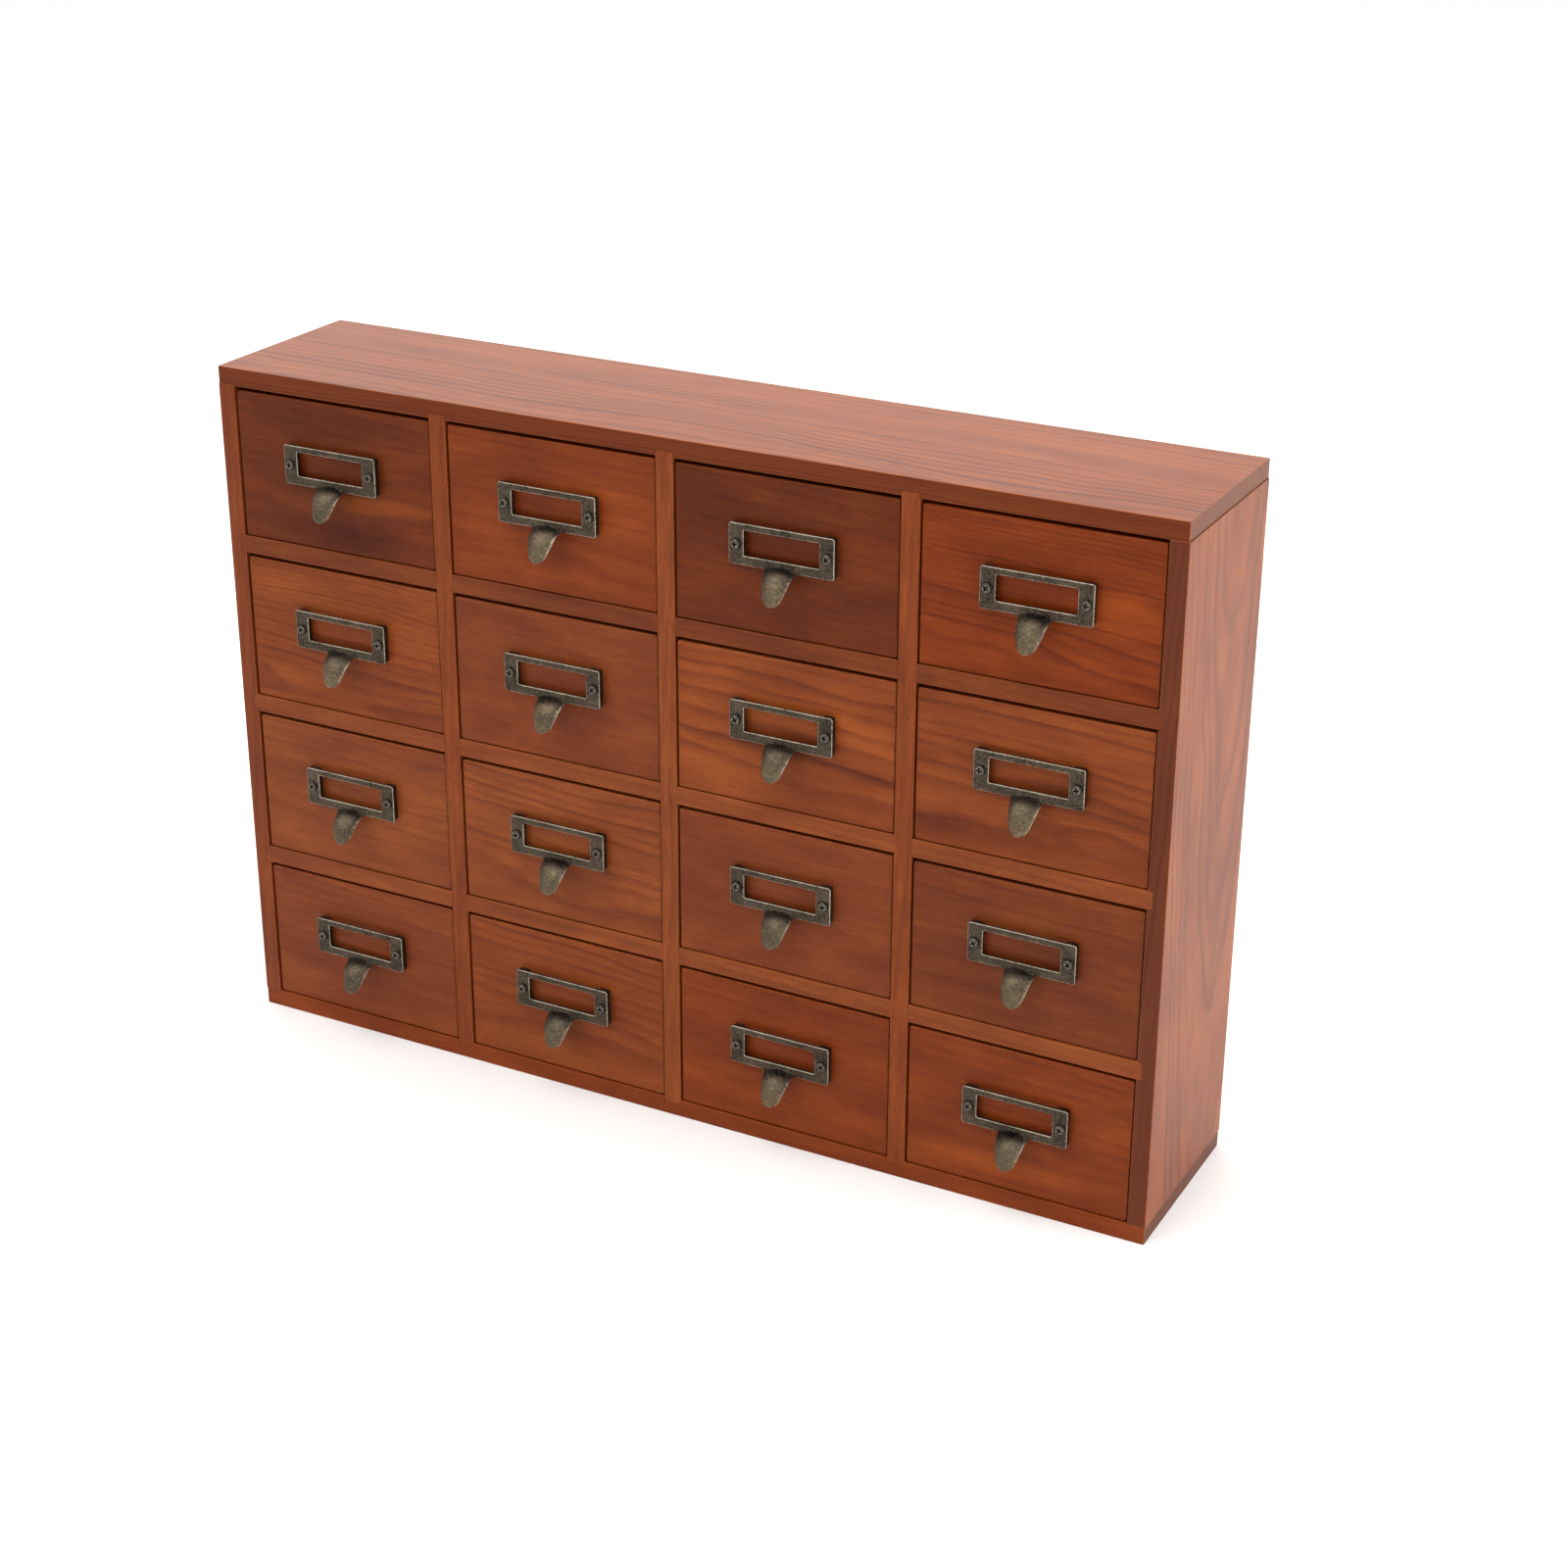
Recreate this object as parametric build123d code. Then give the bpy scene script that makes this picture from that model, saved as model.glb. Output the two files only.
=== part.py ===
from build123d import *
import math
import os

# Apothecary cabinet: a box of 4 x 4 bays, each with a small drawer that has a cast
# label-holder pull. Lengths are in millimetres.
# Frame: X to the right, +Y to the back, +Z up. The origin is the centre of the base.

# Carcass
cabinetWidth = 500.0
cabinetDepth = 100.0
cabinetHeight = 350.0
board = 9.0                # thickness of every carcass board
columns = 4
rows = 4
housing = 2.5              # depth of the grooves that hold dividers and shelf ends
endInset = 0.4             # top and bottom boards stop short of the side panels' faces
boardEase = 0.4            # eased front edges of the boards

# Back
backThickness = 3.0
backLap = 4.5              # how far the back panel lies over the boards' edges
nailRadius = 0.6
nailHeadRadius = 1.1
nailHeadHeight = 0.5
nailLength = 12.0
nailsAcross = 7
nailsUp = 5
nailInset = 20.0           # end nails to the back panel's corners

# Drawer
frontThickness = 9.0
frontRecess = 0.8          # front's face behind the carcass's front edges
frontSideGap = 0.8
frontTopGap = 2.0
runGap = 0.3               # drawer's lower edge above the board it runs on
frontEdge = 0.9            # rounding of the front's face edges
frontCorner = 1.2          # rounding of the front's corners
sideThickness = 6.0
sideHeight = 67.0
sideClearance = 1.3        # drawer side to the bay's wall
rebateDepth = 4.0          # how far the drawer sides are let into the front
bottomThickness = 3.0
bottomLift = 4.0           # bottom panel above the sides' lower edges
bottomGroove = 2.5
drawerBackGap = 3.0        # drawer to the back panel

# Pull
plateWidth = 53.0
plateHeight = 19.5
plateCorner = 1.2
plateLift = 4.0            # plate's face in front of the drawer front
plateThickness = 1.3
plateAboveMiddle = 5.2     # plate's centre above the drawer front's centre
plateEdge = 0.35
windowWidth = 38.0
windowHeight = 12.0
windowCorner = 0.6
windowAbovePlate = 0.7     # window's centre above the plate's
ribWidth = 6.2             # ribs behind the plate's ends
ribHeight = 2.4            # rib behind the plate's lower bar

# Finger tongue: (out from the drawer front, below the plate's lower edge, half width, crown)
tongueStations = [
    (3.0, -1.2, 10.0, 1.0),
    (7.0, -0.6, 8.0, 1.6),
    (10.5, 0.9, 6.9, 2.2),
    (13.0, 3.6, 6.2, 2.3),
    (14.5, 7.0, 5.6, 2.1),
    (15.2, 10.2, 4.7, 1.5),
    (15.4, 12.4, 3.2, 0.8),
    (15.4, 13.2, 1.5, 0.3),
]
tongueThickness = 1.9
tongueEndThickness = 1.2
tongueRim = 0.6            # share of the thickness that shows at the tongue's sides

# Pull's screws
screwSpacing = 46.0
screwHeadRadius = 2.5
screwHeadHeight = 1.6
screwRecessWidth = 0.7
screwRecessSpan = 2.7
screwRecessDepth = 0.9
screwRadius = 1.3
screwHole = 1.5            # radius of the plate's screw holes
pilotRadius = 1.0
screwInWood = 6.5
screwPoint = 1.0           # length of the screw's tapered end
screwPointRadius = 0.2
screwHeadRound = 1.2       # rounding of the head
screwTurns = ((37, 0), (61, 11))   # degrees from one drawer to the next and at the first, left and right
shortEdge = 3.0            # edges up to this length stay sharp when a board's front is eased

inPlane = 1e-4           # edges nearer than this to a plane lie in it

# Worked out from the sizes above
bayWidth = (cabinetWidth - (columns + 1) * board) / columns
bayHeight = (cabinetHeight - (rows + 1) * board) / rows
frontPlane = -cabinetDepth / 2
backFace = cabinetDepth / 2 - backThickness
wallX = cabinetWidth / 2 - board
frontWidth = bayWidth - 2 * frontSideGap
frontHeight = bayHeight - frontTopGap - runGap
faceY = frontPlane + frontRecess
frontBackY = faceY + frontThickness
drawerEndY = backFace - drawerBackGap


def bayX(column):
    """X of the centre of a bay, counted from the left."""
    return -wallX + bayWidth / 2 + column * (bayWidth + board)


def bayZ(row):
    """Z of the floor of a bay, counted from the top row."""
    return cabinetHeight - (row + 1) * (board + bayHeight)


def block(x0, x1, y0, y1, z0, z1):
    """A box between two corners."""
    return Pos((x0 + x1) / 2, (y0 + y1) / 2, (z0 + z1) / 2) * Box(x1 - x0, y1 - y0, z1 - z0)


def easeFront(part, y, amount):
    """Round the edges that lie in the plane of the front at y."""
    edges = part.edges().filter_by(lambda e: abs(e.center().Y - y) < inPlane and e.length > shortEdge)
    edges = edges.filter_by(lambda e: e.bounding_box().size.Y < inPlane)
    return fillet(edges, amount)


def save(name, solids):
    """Write one node: its separate solids go into one file."""
    solids = list(solids)
    node = solids[0] if len(solids) == 1 else Compound(children=solids)
    node.label = name
    export_step(node, f"parts/{name}.step")


# Carcass

dividerX = [bayX(column) + (bayWidth + board) / 2 for column in range(columns - 1)]
shelfZ = [bayZ(row) - board for row in range(rows - 1)]


def endBoard(z0, z1, inner):
    """The top or bottom board: grooves for the dividers and a rebate for the back panel."""
    reach = cabinetWidth / 2 - endInset
    part = block(-reach, reach, frontPlane, cabinetDepth / 2, z0, z1)
    part = easeFront(part, frontPlane, boardEase)
    low = inner - housing
    high = inner + housing
    for x in dividerX:
        part -= block(x - board / 2, x + board / 2, frontPlane - 1, backFace, low, high)
    span = wallX + backLap
    return part - block(-span, span, backFace, cabinetDepth, inner - backLap, inner + backLap)


def sidePanel(side):
    """A side panel: grooves for the shelf ends and a rebate for the back panel."""
    inner = side * wallX
    outer = side * cabinetWidth / 2
    left = min(inner, outer)
    right = max(inner, outer)
    part = block(left, right, frontPlane, cabinetDepth / 2, board, cabinetHeight - board)
    part = easeFront(part, frontPlane, boardEase)
    for z in shelfZ:
        part -= block(inner - housing, inner + housing, frontPlane - 1, backFace, z, z + board)
    rebate = block(inner - backLap, inner + backLap, backFace, cabinetDepth, 0, cabinetHeight)
    return part - rebate


def divider(x):
    """An upright between two columns of bays, let into the top and bottom boards."""
    low = board - housing
    part = block(x - board / 2, x + board / 2, frontPlane, backFace, low, cabinetHeight - low)
    return easeFront(part, frontPlane, boardEase)


def shelf(column, z):
    """A short shelf: its outer end is let into the side panel, its inner ends are butted."""
    left = bayX(column) - bayWidth / 2
    right = bayX(column) + bayWidth / 2
    if column == 0:
        left -= housing
    if column == columns - 1:
        right += housing
    part = block(left, right, frontPlane, backFace, z, z + board)
    return easeFront(part, frontPlane, boardEase)


def backPanel():
    """The plywood back in its rebate."""
    reach = wallX + backLap
    low = board - backLap
    return block(-reach, reach, backFace, cabinetDepth / 2, low, cabinetHeight - low)


def spread(low, high, count):
    """Evenly spaced values, the ends included."""
    return [low + (high - low) * i / (count - 1) for i in range(count)]


def nail(x, z):
    """A brad through the back panel, its head sunk flush."""
    axis = Pos(x, cabinetDepth / 2, z) * Rot(X=90)
    head = axis * Cylinder(nailHeadRadius, nailHeadHeight, align=(Align.CENTER, Align.CENTER, Align.MIN))
    shank = axis * Cylinder(nailRadius, nailLength, align=(Align.CENTER, Align.CENTER, Align.MIN))
    return head + shank


def nails():
    """Brads round the back panel's four edges."""
    edgeX = wallX + backLap / 2
    edgeZ = board - backLap / 2
    topZ = cabinetHeight - edgeZ
    alongX = spread(-edgeX + nailInset, edgeX - nailInset, nailsAcross)
    upZ = spread(edgeZ + nailInset, topZ - nailInset, nailsUp)
    places = [(x, z) for x in alongX for z in (edgeZ, topZ)]
    places += [(x, z) for z in upZ for x in (-edgeX, edgeX)]
    return [nail(x, z) for x, z in places]


# Drawer

boxHalf = bayWidth / 2 - sideClearance
boxStartY = frontBackY - rebateDepth


def drawerFront(x, z):
    """A drawer front: rounded face edges, rebates for the sides and pilot holes for the screws."""
    middleZ = z + runGap + frontHeight / 2
    plane = Plane(origin=(x, frontBackY, middleZ), x_dir=(1, 0, 0), z_dir=(0, -1, 0))
    part = extrude(plane * RectangleRounded(frontWidth, frontHeight, frontCorner), frontThickness)
    rim = part.edges().filter_by(lambda e: abs(e.center().Y - faceY) < inPlane)
    part = fillet(rim, frontEdge)
    for side in (-1, 1):
        inner = x + side * (boxHalf - sideThickness)
        outer = x + side * (bayWidth / 2)
        part -= block(min(inner, outer), max(inner, outer), boxStartY, frontBackY + 1, z, z + bayHeight)
        part -= pilotHole(x + side * screwSpacing / 2, middleZ + plateAboveMiddle)
    return part


def pilotHole(x, z):
    """The hole that a pull's screw cuts its thread in."""
    return Pos(x, faceY - 1, z) * Rot(X=-90) * Cylinder(
        pilotRadius, screwInWood + 1, align=(Align.CENTER, Align.CENTER, Align.MIN))


def drawerBox(x, z):
    """The sides, back and bottom of a drawer, as separate boards."""
    low = z + runGap
    high = low + sideHeight
    floor = low + bottomLift
    inner = boxHalf - sideThickness
    grooveLeft = x - inner - bottomGroove
    grooveRight = x + inner + bottomGroove
    backY = drawerEndY - sideThickness
    ceiling = floor + bottomThickness
    bottom = block(grooveLeft, grooveRight, frontBackY, backY + bottomGroove, floor, ceiling)
    left = block(x - boxHalf, x - inner, boxStartY, drawerEndY, low, high) - bottom
    right = block(x + inner, x + boxHalf, boxStartY, drawerEndY, low, high) - bottom
    back = block(x - inner, x + inner, backY, drawerEndY, low, high) - bottom
    return [left, right, back, bottom]


# Pull, modelled with its plate's centre on the drawer front at the origin

plateFaceY = -plateLift
plateBackY = -plateLift + plateThickness


def tongueSection(station, run, thickness):
    """A crowned section across the tongue, square to its run (out, down)."""
    out, drop, halfWidth, crown = station
    length = math.hypot(*run)
    centre = Vector(0, -out, -plateHeight / 2 - drop)
    outward = Vector(0, -run[1] / length, run[0] / length)
    edge = Vector(halfWidth, 0, 0)
    low = centre - outward * crown
    skin = outward * thickness
    rim = skin * tongueRim
    top = ThreePointArc(low - edge, centre, low + edge)
    under = ThreePointArc(low + edge - rim, centre - skin, low - edge - rim)
    rightEdge = Line(low + edge, low + edge - rim)
    leftEdge = Line(low - edge - rim, low - edge)
    return Face(Wire([top, rightEdge, under, leftEdge]))


def tongue():
    """The finger tongue: crowned outside and hollow behind, curving out and down."""
    last = len(tongueStations) - 1
    sections = []
    for i, station in enumerate(tongueStations):
        ahead = tongueStations[min(i + 1, last)]
        behind = tongueStations[max(i - 1, 0)]
        thickness = tongueThickness + (tongueEndThickness - tongueThickness) * i / last
        sections.append(tongueSection(station, (ahead[0] - behind[0], ahead[1] - behind[1]), thickness))
    return loft(sections)


def casting():
    """The plate with its window, rear ribs, screw holes and tongue, as one casting."""
    plane = Plane(origin=(0, plateBackY, 0), x_dir=(1, 0, 0), z_dir=(0, -1, 0))
    plate = extrude(plane * RectangleRounded(plateWidth, plateHeight, plateCorner), plateThickness)
    hole = plane * Pos(0, windowAbovePlate) * RectangleRounded(windowWidth, windowHeight, windowCorner)
    plate -= extrude(hole, plateThickness)
    rim = plate.edges().filter_by(lambda e: abs(e.center().Y - plateFaceY) < inPlane)
    part = fillet(rim, plateEdge)
    halfWidth = plateWidth / 2
    halfHeight = plateHeight / 2
    reach = halfWidth - plateCorner
    low = -halfHeight + plateCorner
    inner = halfWidth - ribWidth
    part += block(-reach, -inner, plateBackY, 0, low, -low)
    part += block(inner, reach, plateBackY, 0, low, -low)
    part += block(-reach, reach, plateBackY, 0, low, low + ribHeight)
    part += tongue()
    for side in (-1, 1):
        part -= Pos(side * screwSpacing / 2, 0, 0) * Rot(X=90) * Cylinder(screwHole, 4 * plateLift)
    return part


def screw(side, turn):
    """A pan-head screw with a cross recess."""
    align = (Align.CENTER, Align.CENTER, Align.MIN)
    head = Pos(0, plateFaceY, 0) * Rot(X=90) * Cylinder(screwHeadRadius, screwHeadHeight, align=align)
    rim = head.edges().filter_by(lambda e: abs(e.center().Y - plateFaceY + screwHeadHeight) < inPlane)
    head = fillet(rim, screwHeadRound)
    recessY = plateFaceY - screwHeadHeight + screwRecessDepth / 2
    slot = Box(screwRecessSpan, screwRecessDepth, screwRecessWidth)
    for angle in (0, 90):
        head -= Pos(0, recessY, 0) * Rot(Y=turn + angle) * slot
    shankLength = plateLift + screwInWood - screwPoint
    core = Pos(0, plateFaceY, 0) * Rot(X=-90) * Cylinder(screwRadius, shankLength, align=align)
    taper = Cone(screwRadius, screwPointRadius, screwPoint, align=align)
    point = Pos(0, plateFaceY + shankLength, 0) * Rot(X=-90) * taper
    return Pos(side * screwSpacing / 2, 0, 0) * (head + core + point)


def pull(x, z, place, pattern):
    """A casting with its two screws, each driven home at its own angle."""
    middleZ = z + runGap + frontHeight / 2 + plateAboveMiddle
    home = Pos(x, faceY, middleZ)
    screws = []
    for side, (step, start) in zip((-1, 1), screwTurns):
        screws.append(home * screw(side, step * place % 90 + start))
    return [home * pattern] + screws


os.makedirs("parts", exist_ok=True)

save("top_board", [endBoard(cabinetHeight - board, cabinetHeight, cabinetHeight - board)])
save("bottom_board", [endBoard(0, board, board)])
save("left_side_panel", [sidePanel(-1)])
save("right_side_panel", [sidePanel(1)])
for name, x in zip(("left", "centre", "right"), dividerX):
    save(f"divider_{name}", [divider(x)])
for name, z in zip(("upper", "middle", "lower"), shelfZ):
    save(f"shelves_{name}_row", [shelf(column, z) for column in range(columns)])
save("back_panel", [backPanel()])
save("back_panel_nails", nails())

pattern = casting()
for row in range(rows):
    for column in range(columns):
        x = bayX(column)
        z = bayZ(row)
        place = row * columns + column
        drawer = f"drawer_r{row + 1}c{column + 1}"
        save(f"{drawer}_front", [drawerFront(x, z)])
        save(f"{drawer}_box", drawerBox(x, z))
        save(f"{drawer}_pull", pull(x, z, place, pattern))
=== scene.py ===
import math
import bpy
import bmesh
from mathutils import Matrix, Vector
from mathutils.kdtree import KDTree


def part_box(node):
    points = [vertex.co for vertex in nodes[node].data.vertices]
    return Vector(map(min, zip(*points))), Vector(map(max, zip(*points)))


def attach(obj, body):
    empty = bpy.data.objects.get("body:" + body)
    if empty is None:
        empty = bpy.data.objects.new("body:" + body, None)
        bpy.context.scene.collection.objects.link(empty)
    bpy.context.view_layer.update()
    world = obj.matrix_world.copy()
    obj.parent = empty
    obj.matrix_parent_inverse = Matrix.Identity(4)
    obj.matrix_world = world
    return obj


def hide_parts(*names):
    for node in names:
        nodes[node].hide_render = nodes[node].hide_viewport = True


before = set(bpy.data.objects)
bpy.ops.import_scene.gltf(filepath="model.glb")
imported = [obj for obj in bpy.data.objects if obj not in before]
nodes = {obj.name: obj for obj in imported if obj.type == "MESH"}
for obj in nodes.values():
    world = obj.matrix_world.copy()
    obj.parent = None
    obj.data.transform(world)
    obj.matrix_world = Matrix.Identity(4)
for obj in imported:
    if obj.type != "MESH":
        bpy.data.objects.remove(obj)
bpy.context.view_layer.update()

mm = 0.001
print("frame loaded:", len(nodes), "nodes")


# shared helpers

def toLinear(hexColour):
    # sRGB hex to the linear colour that the shader sockets expect
    channels = [int(hexColour[i:i + 2], 16) / 255 for i in (1, 3, 5)]
    linear = [c / 12.92 if c <= 0.04045 else ((c + 0.055) / 1.055) ** 2.4 for c in channels]
    return (*linear, 1.0)


def addNode(tree, kind, inputs=None, **settings):
    # one shader node with its settings, and its sockets set or linked
    made = tree.nodes.new(kind)
    for name, value in settings.items():
        setattr(made, name, value)
    for name, value in (inputs or {}).items():
        socket = made.inputs[name]
        if isinstance(value, bpy.types.NodeSocket):
            tree.links.new(value, socket)
        else:
            socket.default_value = value
    return made


def newMaterial(name):
    # a material with only its shader and output, ready for more nodes
    material = bpy.data.materials.new(name)
    material.use_nodes = True
    tree = material.node_tree
    tree.nodes.clear()
    shader = addNode(tree, "ShaderNodeBsdfPrincipled")
    output = addNode(tree, "ShaderNodeOutputMaterial")
    tree.links.new(shader.outputs["BSDF"], output.inputs["Surface"])
    return material, tree, shader


def fillRamp(ramp, stops):
    # stops are (position, linear colour or grey level)
    elements = ramp.color_ramp.elements
    while len(elements) < len(stops):
        elements.new(0.5)
    for element, (position, value) in zip(elements, stops):
        element.position = position
        element.color = value if isinstance(value, tuple) else (value, value, value, 1.0)


def dress(piece, *materials):
    # puts the materials on a piece's slots, in order
    piece.data.materials.clear()
    for material in materials:
        piece.data.materials.append(material)


# camera, lights and floor

studio = {
    "cameraPlace": (608.2, -1094.5, 716.2),    # mm from the centre of the cabinet's base
    "cameraAim": (-0.4237, 0.8099, -0.4056),
    "cameraRoll": 0.25,                         # degrees
    "lens": 64.2,                               # mm, over the sensor's width
    "sensorWidth": 36,                          # mm
    "nearest": 0.01,                            # metres in front of the camera that still show
    "floorColour": "#f4f3f1",
    "floorRoughness": 0.9,
    "floorSize": 60.0,                          # metres
    "skyColour": "#ffffff",
    "skyStrength": 0.66,
    "sunFrom": (-0.55, -0.8, 1.5),
    "sunStrength": 1.6,
    "sunSpread": 70,                            # degrees across, so that its shadows are soft
    "softboxes": [
        # name, place, target, size in metres, power in watts
        ("topSoftbox", (-1.1, 1.9, 1.25), (0, 0, 0.3), 2.4, 23),
        ("overheadSoftbox", (-0.2, 0.0, 1.9), (0, 0, 0.3), 2.2, 16),
        ("rightSoftbox", (2.0, 0.1, 0.7), (0, 0, 0.1), 1.7, 40),
    ],
}


def buildStudio(look):
    scene = bpy.context.scene
    scene.view_settings.view_transform = "Standard"

    camera = bpy.data.objects.new("camera", bpy.data.cameras.new("camera"))
    scene.collection.objects.link(camera)
    camera.data.lens = look["lens"]
    camera.data.sensor_width = look["sensorWidth"]
    camera.data.clip_start = look["nearest"]
    camera.location = Vector(look["cameraPlace"]) * mm
    aim = Vector(look["cameraAim"]).to_track_quat("-Z", "Y").to_matrix().to_4x4()
    roll = Matrix.Rotation(math.radians(look["cameraRoll"]), 4, "Z")
    camera.rotation_euler = (aim @ roll).to_euler()
    scene.camera = camera

    world = bpy.data.worlds.new("studioSky")
    world.use_nodes = True
    sky = world.node_tree.nodes["Background"]
    sky.inputs["Color"].default_value = toLinear(look["skyColour"])
    sky.inputs["Strength"].default_value = look["skyStrength"]
    scene.world = world

    sun = bpy.data.lights.new("windowLight", "SUN")
    sun.energy = look["sunStrength"]
    sun.angle = math.radians(look["sunSpread"])
    window = bpy.data.objects.new("windowLight", sun)
    window.rotation_euler = (-Vector(look["sunFrom"])).to_track_quat("-Z", "Y").to_euler()
    scene.collection.objects.link(window)

    for name, place, target, size, power in look["softboxes"]:
        light = bpy.data.lights.new(name, "AREA")
        light.shape = "SQUARE"
        light.size = size
        light.energy = power
        box = bpy.data.objects.new(name, light)
        box.location = place
        box.rotation_euler = (Vector(target) - Vector(place)).to_track_quat("-Z", "Y").to_euler()
        scene.collection.objects.link(box)

    half = look["floorSize"] / 2
    corners = [(-half, -half, 0), (half, -half, 0), (half, half, 0), (-half, half, 0)]
    mesh = bpy.data.meshes.new("floor")
    mesh.from_pydata(corners, [], [(0, 1, 2, 3)])
    floor = bpy.data.objects.new("floor", mesh)
    scene.collection.objects.link(floor)

    # plain white paper, which shows soft shadows and no shine
    material, tree, shader = newMaterial("matt white backdrop paper")
    shader.inputs["Base Color"].default_value = toLinear(look["floorColour"])
    shader.inputs["Roughness"].default_value = look["floorRoughness"]
    dress(floor, material)
    print("studio ready")


buildStudio(studio)


# lacquered stained pine: softwood wiped with a red-brown stain under semi-gloss lacquer.
# It gives soft growth-ring lines, fine fibres, uneven dark patches where the stain
# soaked in, and paler edges, rubbed thin and painted with a highlight; some edges get painted shade.

# the same stain took differently on different boards: these are its tones
stainTones = {
    "deepBrown": "#5c260c",      # the two fronts that drank the most
    "redBrown": "#6e2b0a",
    "amberBrown": "#702f10",
    "chestnut": "#753617",
    "paleChestnut": "#783a1b",
    "softBrown": "#6f3318",
    "umber": "#672f15",
}

pine = {
    "mid": stainTones["chestnut"],
    "soaked": (0.46, 0.40, 0.52),   # where the stain soaked in, as shares of the middle colour
    "thin": (1.75, 2.0, 1.45),      # where the stain is thin
    "rubbedAndHighlit": (1.9, 2.5, 3.0),      # along an edge: rubbed thin, plus a painted highlight where it catches the light
    "rubbedAndHighlitDepth": 0.7,
    "rubbedAndHighlitFrom": (0.99, 0.85),     # largest part of the surface's direction, from flat to full edge
    "rubbedAndHighlitPatch": (0.3, 0.58),     # levels of the patch noise from untouched to rubbed and painted bright
    "endGrain": (0.42, 0.55, 0.7),  # sawn ends drink the most stain
    "endGrainDepth": 0.75,
    "frontEdge": (0.45, 0.32, 0.33),
    "frontEdgeDepth": 0.0,          # how far a board's front and back edges go to that darker tone, which is painted shade
    "facing": (0.9, 0.97),          # how squarely a surface faces a way, from not at all to fully
    "along": "X",                   # direction of the grain
    "pitch": 0.0,                   # mm from piece to piece, when one node holds a row of them
    "pieceShift": (53.0, 11.0, 7.3),    # mm further into the tree for each next piece of a row
    "ringSpacing": 4.5,             # mm between growth rings
    "ringDepth": 0.12,              # how dark the ring lines are
    "ringLean": (0.02, 0.05),       # slope of the tree's heart against the board, in Y and Z
    "lateWood": [(0.0, 0.1), (0.4, 0.1), (0.84, 1.0), (1.0, 0.1)],    # darkness through one ring
    "heart": (-38.0, -30.0),        # mm from the board's centre to the tree's heart, in Y and Z
    "wander": 6.0,                  # mm that the rings wander
    "wanderShares": (4, 2, 2),      # how much of that goes along and across the grain
    "fibreDepth": 0.2,
    "streakDepth": 0.16,
    "blotchDepth": 0.42,
    "poreDepth": 0.1,
    "poreFrom": (0.62, 0.74),       # levels of the pore noise from closed to open
    "stains": [],                   # patches: mm right and up from the middle, half sizes, strength
    "stainFrom": (1.15, 0.45),      # half sizes from a patch's middle, from clear to fully stained
    "seed": 0.0,
    "seedShift": (3.7, 1.3, 2.1),   # moves every noise for each unit of seed
    "layerShift": (5.1, -3.3, 0.0),     # moves each next noise, so that no two line up
    "roughness": 0.36,
    "fibreRoughness": 0.16,         # spread of the roughness from fibre to fibre
    "relief": 0.4,
    "reliefHeight": 0.12,           # mm
    "reliefShares": (0.6, -0.8, 0.3),   # fibres and late wood stand up, pores sink in
    "lacquerIOR": 1.2,              # thin lacquer wiped into the wood reflects less than a clear coat
}

# each noise: mm along the grain, mm across it, detail and roughness. Real fibres are under
# 0.1 mm wide and resin canals about 0.2 mm; both are drawn coarser so that they still show.
grain = {
    "wander": (120.0, 36.0, 2.0, 0.5),
    "streak": (75.0, 1.5, 3.0, 0.6),
    "fibre": (9.0, 0.75, 3.0, 0.7),
    "pore": (3.6, 0.5, 1.0, 0.5),
    "blotch": (52.0, 17.0, 3.0, 0.55),
    "patch": (9.0, 6.0, 3.0, 0.7),
}


def shade(hexColour, shares):
    # the linear colour times a share for each channel
    return (*[min(1.0, c * k) for c, k in zip(toLinear(hexColour), shares)], 1.0)


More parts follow.
